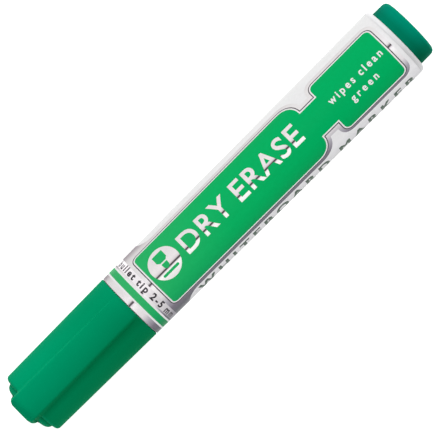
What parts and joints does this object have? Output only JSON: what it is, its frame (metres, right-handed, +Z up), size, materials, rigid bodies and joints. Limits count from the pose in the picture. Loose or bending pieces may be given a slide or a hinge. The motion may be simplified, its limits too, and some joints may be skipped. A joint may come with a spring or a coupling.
{
  "type": "whiteboard marker",
  "caption": "Thick round whiteboard marker with a bullet nib, lying on its side with its green push-on cap closed; the cap pulls off straight along the axis.",
  "frame": {"origin": "on the surface the marker lies on, below the middle of its length and of its width", "axes": "+X along the marker from the cap's closed end to the tail plug; +Z up, towards the cap's rib; +Y to the side"},
  "size_m": [0.132, 0.0196, 0.0205],
  "materials": {
    "white_plastic": "moulded white polypropylene, satin",
    "label_print": "printed film: green panel, silver and white areas",
    "green_plastic": "moulded green polypropylene, satin",
    "section_plastic": "moulded off-white polypropylene",
    "nib_fibre": "bonded fibre soaked with green ink",
    "reservoir_fibre": "fibre bundle soaked with green ink",
    "clear_film": "thin clear wrap",
    "seal_plastic": "soft natural polyethylene"
  },
  "bodies": {
    "marker_body": {"barrel": "white_plastic", "label_film": "label_print", "tail_plug": "green_plastic", "front_section": "section_plastic", "nib": "nib_fibre", "ink_reservoir": "reservoir_fibre", "reservoir_film": "clear_film"},
    "cap": {"cap_shell": "green_plastic", "cap_seal": "seal_plastic"}
  },
  "joints": [
    {"name": "cap_slide", "type": "slide", "parent": "marker_body", "child": "cap", "axis": [-1, 0, 0], "range_m": [0, 0.04]}
  ]
}
